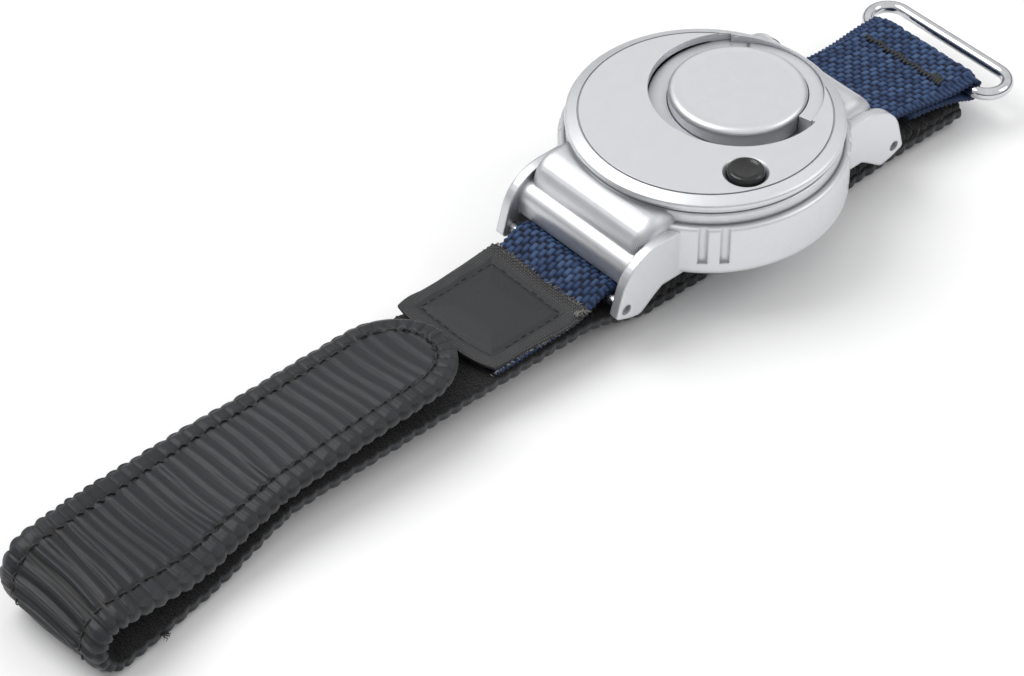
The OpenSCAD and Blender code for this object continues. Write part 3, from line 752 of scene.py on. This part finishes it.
def pile_face(_, s, y):
    """Height and relief of a pile face: rows of loops and uneven tufts."""
    tufts = (np.sin(s * 3.1 + pile_phase[0] + 2 * np.sin(y * 1.7))
             * np.sin(y * 3.7 + pile_phase[1] + np.sin(s * 1.3))
             + 0.6 * np.sin(s * 5.3 + y * 4.1 + pile_phase[2]))
    rows = 0.5 + 0.5 * np.cos(2 * math.pi * s / 0.95)
    return 0.06 * tufts + 0.14 * rows, 0.28 + 0.22 * rows + 0.05 * tufts


def strap_edge(s, side):
    """The scallops of the strap's edge, in step with its pleats."""
    phase = float(side_phase(side))
    near_fold = at_fold(s, 30)
    bump = abs(math.cos(math.pi * (s + phase) / RIB)) ** 0.55
    return (0.58 + 0.15 * near_fold) * (bump - 0.6) + 0.08 * math.sin(s * 0.9 + 2 * side)


def tip_width(x, centre, radius, least):
    """Half width of a band whose round end has its centre at x = centre."""
    if x <= centre:
        return radius
    return max(radius * math.sqrt(max(0.0, 1 - ((x - centre) / radius) ** 2)), least)


def strap_width(i):
    return STRAP_HW if i < n_root else tip_width(tail_xs[i - n_root], tip_c, tip_r, 0.25)


def tail_edge(s, side):
    """The scallops fade out round the tip, where the pleats follow the tip instead."""
    return strap_edge(s, side) * (1 - float(ease((s - s_tip_c) / 9)))


def strap_piece(name, first, last, edge, m_out, m_in=26):
    """A run of the strap from one station to another. Its inner face and its ends are pile."""
    piece = cloth(name, stations[first:last], strap_s[first:last], lambda i: strap_width(i + first),
                  STRAP_T, lambda i, s, y: strap_outer(i + first, s, y), pile_face, edge, RIBBED,
                  m_out, m_in, rim=(0.05, 0.95, 0.05))
    piece.data.materials.append(PILE)
    # round each ring, the pile runs from halfway down one side to the end of the inner face
    place = np.arange(len(piece.data.polygons)) % (m_out + m_in + 2 * SIDE_POINTS)
    index = np.where((place >= m_out + SIDE_POINTS // 2) & (place < m_out + m_in + SIDE_POINTS), 1, 0)
    index[-2:] = 1
    piece.data.polygons.foreach_set("material_index", index.astype(np.int32))
    return piece


base = strap_piece("ribbed_strap", 0, n_root + 1, strap_edge, 46)
tail = strap_piece("ribbed_tail", n_root, len(stations), tail_edge, 72)
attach(base, "root")
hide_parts("loop_strap")

# ---- webbing ---------------------------------------------

web_xs = np.arange(-64.5, RING_X, 0.3)
bend_angles = np.radians(np.linspace(82, -82, 22))
return_xs = np.arange(RING_X, 46.0, -0.35)
web_stations = ([web_top_station(x) for x in web_xs]
                + [web_bend_station(a) for a in bend_angles]
                + [web_back_station(x) for x in return_xs])
web_s = lengths(web_stations)
# width of one column of warp floats, the repeat along it, and how many of each have their own values
COLUMN = 25.0 / 21
FLOAT = 2.4
COLUMNS = 40
REPEATS = 97
column_shift = rng.uniform(-0.12, 0.12, COLUMNS)
yarn_slip = rng.uniform(-0.05, 0.05, (COLUMNS, REPEATS))
yarn_size = rng.uniform(0.75, 1.15, (COLUMNS, REPEATS))
yarn_tone = rng.uniform(0.62, 1.0, (COLUMNS, REPEATS))


def weave(_, s, y):
    """Warp floats in neighbouring columns are half a repeat apart. The weft between them is painted dark as
    shade, the floats' tops lighter as highlight.
    """
    c = (y + STRAP_HW) / COLUMN
    j = np.clip(np.floor(c).astype(int), 0, COLUMNS - 1)
    across = (c - j) * 2 - 1
    turn = s / FLOAT + 0.5 * (j % 2) + column_shift[j] + 0.04 * across
    which = np.floor(turn).astype(int) % REPEATS
    t = (turn + yarn_slip[j, which]) % 1.0
    along = np.clip(1 - np.abs(t - 0.5) / 0.45, 0, 1)
    hump = np.sqrt(np.clip(along * 2.6, 0, 1)) * np.sqrt(np.clip(1 - np.abs(across) ** 3.5 * 0.97, 0, 1))
    edge = ease((STRAP_HW - np.abs(y)) / 0.9)
    loops = 0.5 + 0.5 * np.cos(2 * math.pi * s / WEB_PICK + np.sign(y))
    h = 0.50 * hump * edge * yarn_size[j, which] - 0.20 - 0.30 * (1 - edge) + 0.16 * loops * (1 - edge)
    # painted light: highlight on the floats' tops and the selvage loops, painted shade between them
    tone = hump * edge * yarn_tone[j, which] + (1 - edge) * (0.30 + 0.45 * loops)
    return h, np.clip(tone, 0, 1)


def weave_back(i, s, y):
    """The inner face: the same weave one pick along and flatter."""
    h, tone = weave(i, s + WEB_PICK, y)
    return h * 0.5, tone


def web_edge(s, side):
    return 0.16 * math.cos(2 * math.pi * s / WEB_PICK + side)


def web_width(i):
    """The webbing spreads where it is sewn round the ring."""
    x = web_stations[i](np.array([0.0]))[0][0][0]
    return STRAP_HW - 0.1 + 1.5 * float(ease((x - 42) / 18))


webbing = cloth("woven_webbing", web_stations, web_s, web_width, WEB_T, weave, weave_back, web_edge,
                WOVEN, 150, 40)
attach(webbing, "root")
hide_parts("webbing")

# ---- lining under the case and the webbing ---------------

pad_xs = np.arange(-34.0, 61.01, 0.4)


def pad_t(x):
    """Thickness of the lining, which thins towards the ring."""
    return 2.6 - float(ease((x - 40) / 12))


def level_face(relief):
    """A hidden face without height, in one relief."""
    return lambda i, s, y: (np.zeros_like(y), np.full_like(y, relief))


pad_stations = [flat_station(x, strap_low(x) + STRAP_T + 0.1, 1.0) for x in pad_xs]
pad_s = lengths(pad_stations)


def pad_outer(i, s, y):
    h, tone = pile_face(i, s, y)
    lumps = 0.25 * np.sin(s * 0.75 + 0.4 * y) + 0.18 * np.sin(s * 1.9 - y * 0.3)
    e = STRAP_HW - np.abs(y)
    return pad_t(pad_xs[i]) + h + lumps * 0.5 - 0.5 * (1 - ease(e / 1.6)), tone


def pad_edge(s, side):
    return 0.30 * math.sin(s * 1.7 + side) * math.sin(s * 0.63) + 0.2 * math.cos(s * 2.6 + side)


pad = cloth("pile_lining", pad_stations, pad_s, lambda i: STRAP_HW - 0.3, 0.0, pad_outer,
            level_face(0.3), pad_edge, PILE, 46, 16)
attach(pad, "root")
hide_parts("wrist_pad")

# ---- sewn patch ------------------------------------------

PATCH_ROWS = 110
PATCH_POINTS = 116


def patch_point(u, v):
    """u along X and v along Y, both 0 to 1. Returns the lower face point, thickness and relief."""
    x = PATCH_X0 + PATCH_L * u
    y = PATCH_HW * (2 * v - 1)
    # distance from the nearer end, from the nearer side, and from the edge
    du = min(u, 1 - u) * PATCH_L
    dv = min(v, 1 - v) * 2 * PATCH_HW
    e = min(du, dv)
    # edges that aren't quite straight, and the corner that curls up by the tail
    x += 0.35 * math.sin(v * 9.0 + 0.8) * (1 - min(1, du / 3)) * (1 if u > 0.5 else -1)
    y += 0.30 * math.sin(u * 7.0 + 1.9) * (1 - min(1, dv / 3)) * (1 if v > 0.5 else -1)
    curl = max(0.0, 1 - math.hypot(u * PATCH_L, (1 - v) * 2 * PATCH_HW) / 6.5)
    flap = max(0.0, 1 - math.hypot((1 - u) * PATCH_L, v * 2 * PATCH_HW) / 5.0)
    z = curve(WEB_TOP, PATCH_X0 + PATCH_L * u) + 0.36
    z += 0.8 * curl ** 1.5 + 0.35 * flap ** 1.5
    x -= 0.2 * curl ** 2
    y -= 1.5 * curl ** 2
    tuck = max(0.0, 1 - math.hypot(u * PATCH_L, v * 2 * PATCH_HW) / 14.0)
    x += 2.9 * tuck ** 2
    y += 1.0 * tuck ** 2
    # the cloth droops over the webbing's edges
    z -= 0.45 * float(ease((abs(y) - 12.2) / 1.2)) * (1 - min(1, 2.2 * curl))
    # the groove of the seam, the padding inside it, and puckers outside it
    seam = math.exp(-((e - PATCH_SEAM_IN) / 0.55) ** 2) if e < 8 else 0.0
    puff = 0.55 * float(ease((e - 3.6) / 5.0))
    ripple = 0.16 * math.sin(u * 21 + 2 * v) * math.exp(-((e - 2.0) / 1.3) ** 2)
    h = 0.55 + puff - 0.36 * seam + ripple
    frayed = math.exp(-((1 - u) * PATCH_L / 2.6) ** 4)
    if u > 0.5:
        h += 0.18 * frayed * math.sin(v * 2 * PATCH_HW * 5.2) * math.sin(u * PATCH_L * 6.0)
    # low relief gives the pale cut colour: real at the frayed cut edges, a painted highlight on the curled
    # corner
    rim = max(frayed if u > 0.5 else 0.0, math.exp(-(e / 0.55) ** 2), 0.55 * curl,
              0.60 * float(ease((3.3 - e) / 0.9)))
    return (x, y, z), h, 1 - 0.92 * rim


def patch_piece():
    """The patch as a closed skin: its top row of points and its lower one, back again, at each u."""
    rings = []
    uvs = []
    relief = []
    across = [2 * PATCH_HW * k / (PATCH_POINTS - 1) for k in range(PATCH_POINTS)]
    for row in range(PATCH_ROWS):
        u = row / (PATCH_ROWS - 1)
        top = []
        low = []
        tone = []
        for k in range(PATCH_POINTS):
            p, h, r = patch_point(u, k / (PATCH_POINTS - 1))
            top.append((p[0], p[1], p[2] + h))
            low.append(p)
            tone.append(r)
        rings.append(top + low[::-1])
        relief.append(tone + tone[::-1])
        # the lower face has its own place on the UV map
        uvs.append([(PATCH_L * u, y) for y in [*across, *(30 + y for y in across), 58]])
    return loft("sewn_patch", rings, uvs, relief, VINYL)


patch = patch_piece()
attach(patch, "root")
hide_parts("vinyl_patch")


def patch_top(x, y):
    """The point of the patch's upper face above (x, y)."""
    p, h, _ = patch_point((x - PATCH_X0) / PATCH_L, (y / PATCH_HW + 1) / 2)
    return np.array([x, y, p[2] + h])


# points along one stitch
STITCH_POINTS = 7


def stitch(points, bow, lift):
    """A short thread through surface points that dips into the cloth at both ends."""
    points = np.asarray(points, float)
    t = np.linspace(0, 1, len(points))
    points[:, 2] += lift + bow * np.sin(math.pi * t) - 0.18 * np.abs(2 * t - 1) ** 4
    return points


patch_stitches = []
left = PATCH_X0 + PATCH_SEAM_IN
right = PATCH_X0 + PATCH_L - PATCH_SEAM_IN
side_y = PATCH_HW - PATCH_SEAM_IN
corners = [(left, -side_y), (right, -side_y), (right, side_y), (left, side_y), (left, -side_y)]
for (ax, ay), (bx, by) in zip(corners[:-1], corners[1:]):
    length = math.hypot(bx - ax, by - ay)
    count = max(1, int(round(length / 2.1)))
    for k in range(count):
        off = 0.12 * rng.standard_normal()
        patch_stitches.append(stitch(
            [patch_top(ax + (bx - ax) * t + off * (by - ay) / length,
                       ay + (by - ay) * t - off * (bx - ax) / length)
             for t in np.linspace((k + 0.08) / count, (k + 0.86) / count, STITCH_POINTS)], 0.05, 0.03))
patch_seam = threads("patch_seam", patch_stitches, 0.13, THREAD)
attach(patch_seam, "root")
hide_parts("patch_stitching")

# frayed yarn ends along the patch's cut edge, at its near corner, and along its near side
frays = []
for _ in range(150):
    y = rng.uniform(-PATCH_HW + 0.2, PATCH_HW - 0.4)
    p = patch_top(PATCH_X0 + PATCH_L - rng.uniform(0.0, 0.5), y) - np.array([0, 0, 0.2])
    d = np.array([rng.uniform(0.4, 1.1), rng.uniform(-0.5, 0.5), rng.uniform(-0.15, 0.35)])
    frays.append([p, p + d * 0.5 + [0, 0, 0.1], p + d * rng.uniform(0.7, 1.1)])
corner = patch_top(PATCH_X0 + PATCH_L - 0.4, -PATCH_HW + 0.5)
for _ in range(46):
    a = rng.uniform(-1.9, 0.5)
    p = corner + np.array([rng.uniform(-2.2, 0.2), rng.uniform(-0.2, 0.6), -0.15])
    d = np.array([math.cos(a), math.sin(a), rng.uniform(-0.1, 0.3)]) * rng.uniform(0.7, 1.7)
    frays.append([p, p + d * 0.5 + [0, 0, 0.15], p + d])
for _ in range(60):
    p = patch_top(PATCH_X0 + rng.uniform(0.4, PATCH_L - 2), -PATCH_HW + 0.12) - np.array([0, 0, 0.25])
    d = np.array([rng.uniform(-0.5, 0.5), rng.uniform(-0.7, -0.2), rng.uniform(-0.3, 0.1)])
    frays.append([p, p + d * 0.5, p + d])
fray = threads("patch_fray", frays, [0.055 + 0.05 * rng.random() for _ in frays], FRAY, sides=5)
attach(fray, "root")

# ---- bar tack --------------------------------------------


def web_surface(x, y):
    """A point just above the webbing, where the threads' middles lie."""
    return np.array([x, y, curve(WEB_TOP, x) + 0.12])


# a row of stitches across the webbing, and a knot of threads at its near end
tacks = []
for k, y in enumerate(np.arange(9.6, -9.4, -0.46)):
    x = 56.2 + 0.22 * math.sin(y * 1.3) + rng.uniform(-0.1, 0.1)
    w = rng.uniform(0.6, 1.0)
    slant = 0.28 * (1 if k % 2 else -1)
    tacks.append(stitch([web_surface(x + w * t, y + slant * t)
                         for t in np.linspace(-1, 1, STITCH_POINTS)], 0.22, 0.1))
for _ in range(20):
    y = -8.2 - rng.uniform(0, 2.4)
    x = 56.4 + rng.uniform(-0.5, 0.9)
    tacks.append(stitch([web_surface(x + 0.9 * t, y + rng.uniform(-0.05, 0.05) + 0.3 * t)
                         for t in np.linspace(-1, 1, STITCH_POINTS)], 0.35, 0.12))
tack = threads("bar_tack_threads", tacks, 0.26, TACK)
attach(tack, "root")
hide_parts("bar_tack")

# ---- stitching of the strap ------------------------------


def stitch_point(i, y, t):
    """A point of a stitch over the ribbed face at station i, with t from 0 to 1 along the stitch."""
    p, d = stations[i](np.array([y]))
    h, _ = strap_outer(i, strap_s[i], np.array([y]))
    lift = 0.10 + 0.30 * math.sin(math.pi * t) - 0.2 * abs(2 * t - 1) ** 4
    return p[0] + d[0] * (STRAP_T + h[0]), d[0] * lift


def strap_seam(lo, hi, side):
    """Stitches in the groove along one edge, between two lengths along the strap."""
    seam = []
    s = lo
    while s + RIB * 0.8 < hi:
        points = []
        for q, reach in enumerate(np.linspace(s + 0.1, s + RIB * 0.74, STITCH_POINTS)):
            i = min(int(np.searchsorted(strap_s, reach)), len(stations) - 1)
            y = side * (STRAP_HW - STITCH_IN) + 0.16 * math.sin(strap_s[i] * 2.1)
            p, lift = stitch_point(i, y, q / (STITCH_POINTS - 1))
            points.append(p + lift)
        seam.append(points)
        s += RIB
    return seam


SEAM_R = 0.16
root_seams = []
for side in (-1, 1):
    root_seams += strap_seam(2.0, strap_s[n_root] - 0.2, side)
seam_root = threads("strap_seam", root_seams, SEAM_R, THREAD)
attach(seam_root, "root")

tail_seams = []
for side in (-1, 1):
    tail_seams += strap_seam(strap_s[n_root] + 0.3, s_tip_c, side)
# and round the tip
TIP_STITCHES = 10
seam_r = tip_r - STITCH_IN
for k in range(TIP_STITCHES):
    points = []
    for q in range(STITCH_POINTS):
        t = q / (STITCH_POINTS - 1)
        a = math.pi / 2 - math.pi * (k + 0.08 + 0.72 * t) / TIP_STITCHES
        x = tip_c + seam_r * math.cos(a)
        i = min(n_root + int(np.searchsorted(tail_xs, x)), len(stations) - 1)
        p, lift = stitch_point(i, seam_r * math.sin(a), t)
        p[0] = x
        points.append(p + lift)
    tail_seams.append(points)
seam_tail = threads("tail_seam", tail_seams, SEAM_R, THREAD)
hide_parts("tail_stitching")

# ---- hook tape under the tail ----------------------------

# the tape lies inside the tail's seam
TAPE_HW = STRAP_HW - STITCH_IN
TAPE_T = 0.45
tape_c = TAIL_END - STITCH_IN - TAPE_HW
tape_xs = np.concatenate([np.arange(-143.5, tape_c, 0.45),
                          tape_c + TAPE_HW * np.sin(np.linspace(0, math.radians(88), 26))])


def tape_station(x):
    """A station just under the tail's inner face, with its outer face downwards."""
    at_tail = tail_station(x)

    def at(y):
        p, d = at_tail(y)
        return p - d * 0.12, -d
    return at


tape_stations = [tape_station(x) for x in tape_xs]
tape_s = lengths(tape_stations)


def hooks(_, s, y):
    """Height and relief of rows of small hooks."""
    rows = np.maximum(0, np.cos(2 * math.pi * s / 1.1)) ** 2
    rows = rows * np.maximum(0, np.cos(2 * math.pi * y / 0.9)) ** 2
    return 0.30 * rows - 0.15, 0.2 + 0.7 * rows


def tape_width(i):
    return tip_width(tape_xs[i], tape_c, TAPE_HW, 0.2)


tape = cloth("hook_tape_strip", tape_stations, tape_s, tape_width, TAPE_T, hooks, level_face(0.4),
             lambda s, side: 0.0, HOOK, 60, 12)
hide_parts("hook_tape")
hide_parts("strap_tail")

# ---- lint and loose threads on the cut edges -------------

lint = []
for _ in range(520):
    i = int(rng.integers(len(base_xs) // 3, len(base_xs)))
    side = -1 if rng.random() < 0.7 else 1
    p, d = stations[i](np.array([side * (STRAP_HW - 0.1)]))
    p = p[0] + d[0] * rng.uniform(0.2, 1.6)
    out = np.array([rng.uniform(-0.8, 0.8), side * rng.uniform(0.3, 1.0), rng.uniform(-0.4, 0.5)])
    out *= rng.uniform(0.25, 0.6)
    lint.append([p, p + out * 0.6 + [0, 0, 0.08], p + out])
for _ in range(260):
    x = rng.uniform(-33, 61)
    side = -1 if rng.random() < 0.7 else 1
    p = np.array([x, side * (STRAP_HW - 0.2), strap_low(x) + STRAP_T + rng.uniform(0.3, pad_t(x))])
    out = np.array([rng.uniform(-0.7, 0.7), side * rng.uniform(0.3, 0.9), rng.uniform(-0.3, 0.5)])
    out *= rng.uniform(0.3, 0.7)
    lint.append([p, p + out * 0.6 + [0, 0, 0.1], p + out])
# a loose tuft by the turn
TUFT_X = -147.5
tuft = np.array([TUFT_X, drift(TUFT_X) - 12.7, 1.2])
for _ in range(16):
    a = rng.uniform(-2.6, -0.4)
    reach = rng.uniform(0.8, 2.2)
    d = np.array([math.cos(a), math.sin(a), rng.uniform(-0.1, 0.5)]) * reach
    lint.append([tuft, tuft + d * 0.5 + [0.3, 0, 0.25], tuft + d * 0.9 + [0.5, 0.1, 0.1], tuft + d])
fluff = threads("edge_lint", lint, [0.05 + 0.04 * rng.random() for _ in lint], LINT, sides=5)
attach(fluff, "root")

# ---- pieces at the root of the tail, their transforms baked into the mesh ---

for piece in (tail, seam_tail, tape):
    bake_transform(piece)

# ---- floor, light and camera -----------------------------

# the floor touches the lowest threads under the strap
FLOOR_Z = -0.0009
floor_mesh = bpy.data.meshes.new("floor")
floor_mesh.from_pydata([(-3, -3, 0), (3, -3, 0), (3, 3, 0), (-3, 3, 0)], [], [(0, 1, 2, 3)])
floor = link(bpy.data.objects.new("floor", floor_mesh))
pale = Mat("pale_floor", (0.9, 0.9, 0.9), 0.8)
floor_mesh.materials.append(pale.material)
floor.location.z = FLOOR_Z

world = bpy.data.worlds.new("studio")
bpy.context.scene.world = world
bpy.context.scene.view_settings.view_transform = "Standard"
world.use_nodes = True
sky = world.node_tree
background = sky.nodes["Background"]
background.inputs["Strength"].default_value = 0.85


def sky_ramp(value, low, high):
    """A ramp over the sky from one (position, colour) to another."""
    ramp = sky.nodes.new("ShaderNodeValToRGB")
    for element, (position, color) in zip(ramp.color_ramp.elements, (low, high)):
        element.position = position
        element.color = (*color, 1)
    sky.links.new(value, ramp.inputs["Fac"])
    return ramp.outputs["Color"]


# a white room with a darker wall low down on the strap's left
direction = sky.nodes.new("ShaderNodeTexCoord").outputs["Generated"]
wall = sky.nodes.new("ShaderNodeVectorMath")
wall.operation = "DOT_PRODUCT"
wall.inputs[1].default_value = (-0.85, 0.1, -0.55)
sky.links.new(direction, wall.inputs[0])
wall_tone = sky_ramp(wall.outputs["Value"], (0.15, (1, 1, 1)), (0.8, (0.16, 0.17, 0.19)))
# and a grey band just above the floor all round it
height = sky.nodes.new("ShaderNodeSeparateXYZ")
sky.links.new(direction, height.inputs["Vector"])
band_tone = sky_ramp(height.outputs["Z"], (0.04, (0.10, 0.105, 0.115)), (0.45, (1, 1, 1)))
both = sky.nodes.new("ShaderNodeMix")
both.data_type = "RGBA"
both.blend_type = "MULTIPLY"
both.inputs[0].default_value = 1.0
sky.links.new(wall_tone, both.inputs[6])
sky.links.new(band_tone, both.inputs[7])
sky.links.new(both.outputs[2], background.inputs["Color"])

LIGHT_AIM = Vector((-0.04, 0, 0.01))


def area_light(name, where, size, power):
    """A round soft light that points at the object."""
    data = bpy.data.lights.new(name, "AREA")
    data.shape = "DISK"
    data.size = size
    data.energy = power
    lamp = link(bpy.data.objects.new(name, data))
    lamp.location = where
    lamp.rotation_euler = (LIGHT_AIM - Vector(where)).to_track_quat("-Z", "Y").to_euler()


area_light("key", (-0.35, 0.45, 0.9), 0.8, 5.5)
area_light("fill", (0.55, -0.5, 0.6), 0.5, 1.4)

# the camera's direction from the object, its roll, what it looks at and from how far
AZIMUTH = math.radians(-42.0447)
ELEVATION = math.radians(42.6643)
ROLL = math.radians(0.203)
CAMERA_AIM = Vector((-0.07051, -0.02302, 0.028))
CAMERA_DISTANCE = 0.6372
# focal length as a share of the image's width
FOCAL_SHARE = 3575.06 / 1024
cam_data = bpy.data.cameras.new("camera")
cam_data.sensor_width = 36.0
cam_data.lens = FOCAL_SHARE * 36.0
cam_data.clip_start = 0.01
cam_data.clip_end = 20
cam = link(bpy.data.objects.new("camera", cam_data))
back = Vector((math.sin(AZIMUTH) * math.cos(ELEVATION), -math.cos(AZIMUTH) * math.cos(ELEVATION),
               math.sin(ELEVATION)))
right = (-back).cross(Vector((0, 0, 1))).normalized()
up = right.cross(-back)
spin = Matrix((right, up, back)).transposed() @ Matrix.Rotation(ROLL, 3, "Z")
cam.matrix_world = Matrix.Translation(CAMERA_AIM + back * CAMERA_DISTANCE) @ spin.to_4x4()
bpy.context.scene.camera = cam
